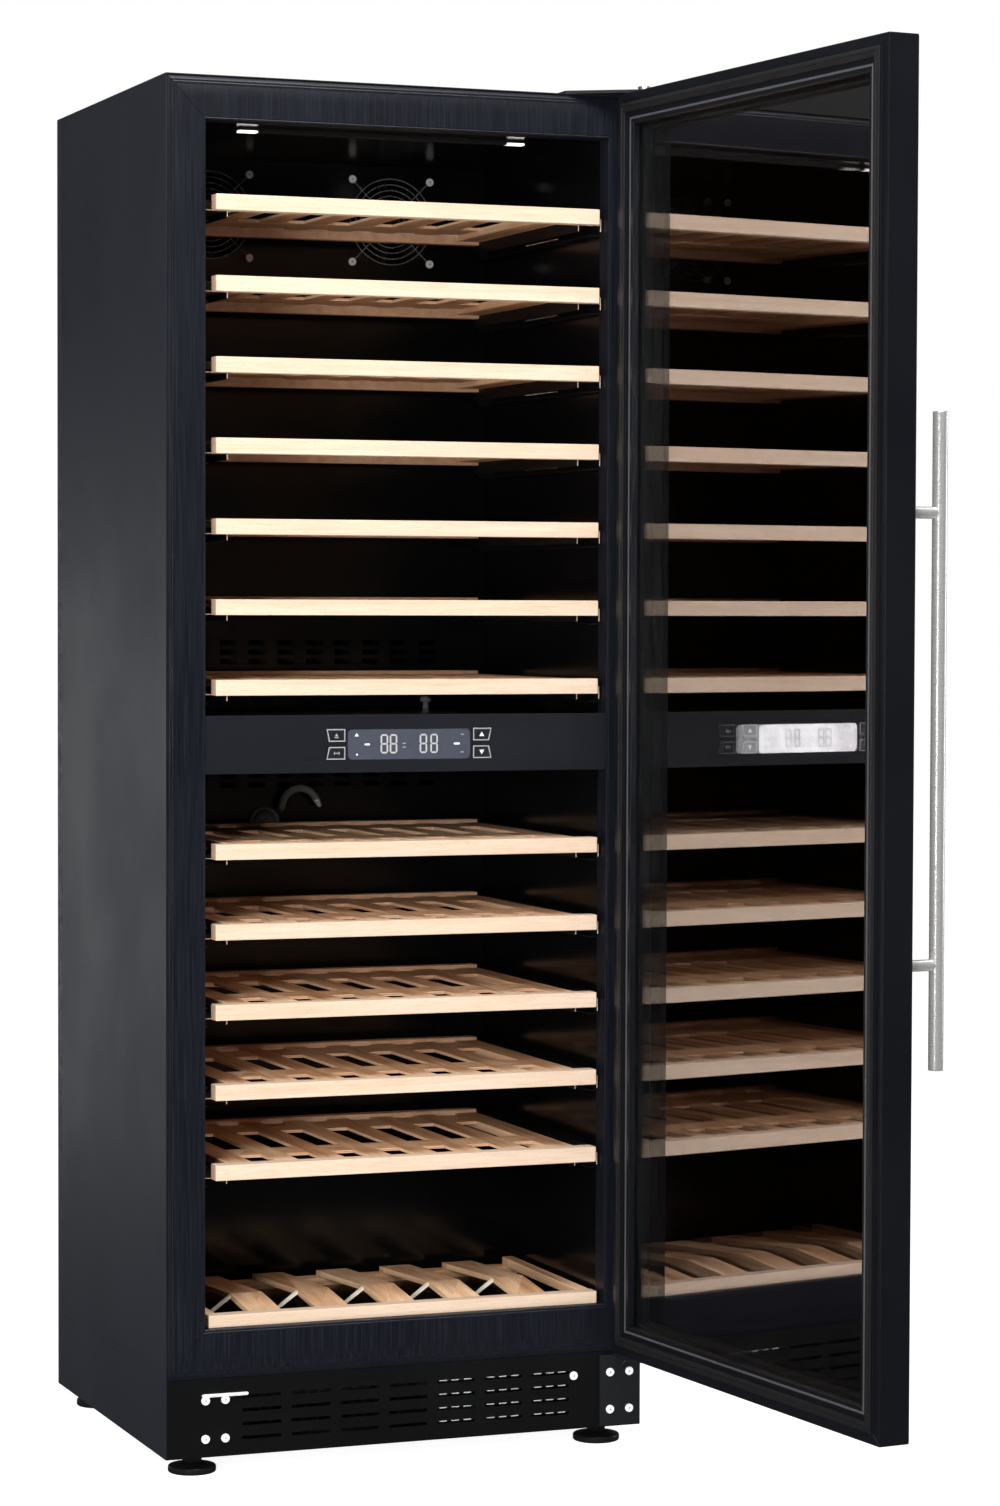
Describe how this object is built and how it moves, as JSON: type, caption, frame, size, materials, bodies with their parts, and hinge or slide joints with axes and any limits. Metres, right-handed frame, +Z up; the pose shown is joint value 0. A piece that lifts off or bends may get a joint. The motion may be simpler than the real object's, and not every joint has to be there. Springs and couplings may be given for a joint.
{
  "type": "wine cooler",
  "caption": "Tall free-standing two-zone wine cooler with a right-hinged glass door, bar handle, sliding beech racks and a control panel between the zones.",
  "frame": {"origin": "centre of the base plate's underside, 25 mm above the floor that the feet stand on", "axes": "+X to the hinge side, -Y towards the user, +Z up"},
  "size_m": [0.7684, 1.2087, 1.79],
  "materials": {
    "cabinet_black": "satin",
    "frame_black": "gloss",
    "liner_black": "gloss",
    "foam": "matte",
    "duct_black": "gloss",
    "fascia_black": "gloss",
    "window_smoke": "gloss",
    "key_black": "gloss",
    "beech": "satin",
    "runner_black": "satin",
    "guard_chrome": "polished",
    "screw_steel": "polished",
    "bracket_black": "satin",
    "door_black": "satin",
    "door_glass": "polished",
    "spacer_black": "satin",
    "gasket_black": "matte",
    "handle_steel": "satin",
    "fan_plastic": "matte",
    "coil_aluminium": "satin",
    "compressor_black": "satin",
    "lamp_white": "satin",
    "foot_black": "matte",
    "inlet_black": "matte",
    "galvanised": "satin"
  },
  "bodies": {
    "cabinet": {"base_plate": "galvanised", "case_screws": "screw_steel", "compressor": "compressor_black", "condenser_coil": "coil_aluminium", "control_fascia": "fascia_black", "display_rack": "beech", "display_window": "window_smoke", "duct_cover_lower": "duct_black", "duct_cover_upper": "duct_black", "evaporators": "coil_aluminium", "fan_frames": "fan_plastic", "fan_guards": "guard_chrome", "front_frame": "frame_black", "hinge_bracket_bottom": "bracket_black", "hinge_bracket_top": "bracket_black", "insulation_foam": "foam", "interior_lamps": "lamp_white", "kick_plate": "frame_black", "liner_lower": "liner_black", "liner_upper": "liner_black", "power_inlet": "inlet_black", "rack_runners": "runner_black", "rear_panel": "galvanised", "side_panel_left": "cabinet_black", "side_panel_right": "cabinet_black", "top_panel": "cabinet_black"},
    "door": {"door_frame_left": "door_black", "door_frame_right": "door_black", "door_frame_top": "door_black", "door_frame_bottom": "door_black", "outer_glass": "door_glass", "inner_glass": "door_glass", "glass_spacer": "spacer_black", "door_gasket": "gasket_black", "handle_bar": "handle_steel", "handle_standoffs": "handle_steel"},
    "rack_01": {"rack_01": "beech"},
    "rack_02": {"rack_02": "beech"},
    "rack_03": {"rack_03": "beech"},
    "rack_04": {"rack_04": "beech"},
    "rack_05": {"rack_05": "beech"},
    "rack_06": {"rack_06": "beech"},
    "rack_07": {"rack_07": "beech"},
    "rack_08": {"rack_08": "beech"},
    "rack_09": {"rack_09": "beech"},
    "rack_10": {"rack_10": "beech"},
    "rack_11": {"rack_11": "beech"},
    "rack_12": {"rack_12": "beech"},
    "key_left_bottom": {"key_left_bottom": "key_black"},
    "key_left_top": {"key_left_top": "key_black"},
    "key_right_bottom": {"key_right_bottom": "key_black"},
    "key_right_top": {"key_right_top": "key_black"},
    "fan_rotor_condenser": {"fan_rotor_condenser": "fan_plastic"},
    "fan_rotor_lower": {"fan_rotor_lower": "fan_plastic"},
    "fan_rotor_upper_left": {"fan_rotor_upper_left": "fan_plastic"},
    "fan_rotor_upper_right": {"fan_rotor_upper_right": "fan_plastic"},
    "foot_front_left": {"foot_front_left": "foot_black"},
    "foot_front_right": {"foot_front_right": "foot_black"},
    "foot_rear_left": {"foot_rear_left": "foot_black"},
    "foot_rear_right": {"foot_rear_right": "foot_black"}
  },
  "joints": [
    {"name": "door_hinge", "type": "hinge", "parent": "cabinet", "child": "door", "pos_m": [0.3095, -0.3035, 0.9285], "axis": [0, 0, 1], "range_deg": [-96, 14]},
    {"name": "rack_01_slide", "type": "slide", "parent": "cabinet", "child": "rack_01", "axis": [0, -1, 0], "range_m": [0, 0.3]},
    {"name": "rack_02_slide", "type": "slide", "parent": "cabinet", "child": "rack_02", "axis": [0, -1, 0], "range_m": [0, 0.3]},
    {"name": "rack_03_slide", "type": "slide", "parent": "cabinet", "child": "rack_03", "axis": [0, -1, 0], "range_m": [0, 0.3]},
    {"name": "rack_04_slide", "type": "slide", "parent": "cabinet", "child": "rack_04", "axis": [0, -1, 0], "range_m": [0, 0.3]},
    {"name": "rack_05_slide", "type": "slide", "parent": "cabinet", "child": "rack_05", "axis": [0, -1, 0], "range_m": [0, 0.3]},
    {"name": "rack_06_slide", "type": "slide", "parent": "cabinet", "child": "rack_06", "axis": [0, -1, 0], "range_m": [0, 0.3]},
    {"name": "rack_07_slide", "type": "slide", "parent": "cabinet", "child": "rack_07", "axis": [0, -1, 0], "range_m": [0, 0.3]},
    {"name": "rack_08_slide", "type": "slide", "parent": "cabinet", "child": "rack_08", "axis": [0, -1, 0], "range_m": [0, 0.3]},
    {"name": "rack_09_slide", "type": "slide", "parent": "cabinet", "child": "rack_09", "axis": [0, -1, 0], "range_m": [0, 0.3]},
    {"name": "rack_10_slide", "type": "slide", "parent": "cabinet", "child": "rack_10", "axis": [0, -1, 0], "range_m": [0, 0.3]},
    {"name": "rack_11_slide", "type": "slide", "parent": "cabinet", "child": "rack_11", "axis": [0, -1, 0], "range_m": [0, 0.3]},
    {"name": "rack_12_slide", "type": "slide", "parent": "cabinet", "child": "rack_12", "axis": [0, -1, 0], "range_m": [0, 0.3]},
    {"name": "key_left_bottom_press", "type": "slide", "parent": "cabinet", "child": "key_left_bottom", "axis": [0, 1, 0], "range_m": [0, 0.0006], "stiffness_N_per_m": 900},
    {"name": "key_left_top_press", "type": "slide", "parent": "cabinet", "child": "key_left_top", "axis": [0, 1, 0], "range_m": [0, 0.0006], "stiffness_N_per_m": 900},
    {"name": "key_right_bottom_press", "type": "slide", "parent": "cabinet", "child": "key_right_bottom", "axis": [0, 1, 0], "range_m": [0, 0.0006], "stiffness_N_per_m": 900},
    {"name": "key_right_top_press", "type": "slide", "parent": "cabinet", "child": "key_right_top", "axis": [0, 1, 0], "range_m": [0, 0.0006], "stiffness_N_per_m": 900},
    {"name": "fan_rotor_condenser_spin", "type": "hinge", "parent": "cabinet", "child": "fan_rotor_condenser", "pos_m": [-0.09, 0.1385, 0.08], "axis": [0, 1, 0], "continuous": true},
    {"name": "fan_rotor_lower_spin", "type": "hinge", "parent": "cabinet", "child": "fan_rotor_lower", "pos_m": [0, 0.199, 0.6], "axis": [0, 1, 0], "continuous": true},
    {"name": "fan_rotor_upper_left_spin", "type": "hinge", "parent": "cabinet", "child": "fan_rotor_upper_left", "pos_m": [-0.133, 0.199, 1.626], "axis": [0, 1, 0], "continuous": true},
    {"name": "fan_rotor_upper_right_spin", "type": "hinge", "parent": "cabinet", "child": "fan_rotor_upper_right", "pos_m": [0.133, 0.199, 1.626], "axis": [0, 1, 0], "continuous": true},
    {"name": "foot_front_left_turn", "type": "hinge", "parent": "cabinet", "child": "foot_front_left", "pos_m": [-0.281, -0.2275, 0], "axis": [0, 0, 1], "continuous": true},
    {"name": "foot_front_right_turn", "type": "hinge", "parent": "cabinet", "child": "foot_front_right", "pos_m": [0.281, -0.2275, 0], "axis": [0, 0, 1], "continuous": true},
    {"name": "foot_rear_left_turn", "type": "hinge", "parent": "cabinet", "child": "foot_rear_left", "pos_m": [-0.281, 0.2225, 0], "axis": [0, 0, 1], "continuous": true},
    {"name": "foot_rear_right_turn", "type": "hinge", "parent": "cabinet", "child": "foot_rear_right", "pos_m": [0.281, 0.2225, 0], "axis": [0, 0, 1], "continuous": true}
  ]
}
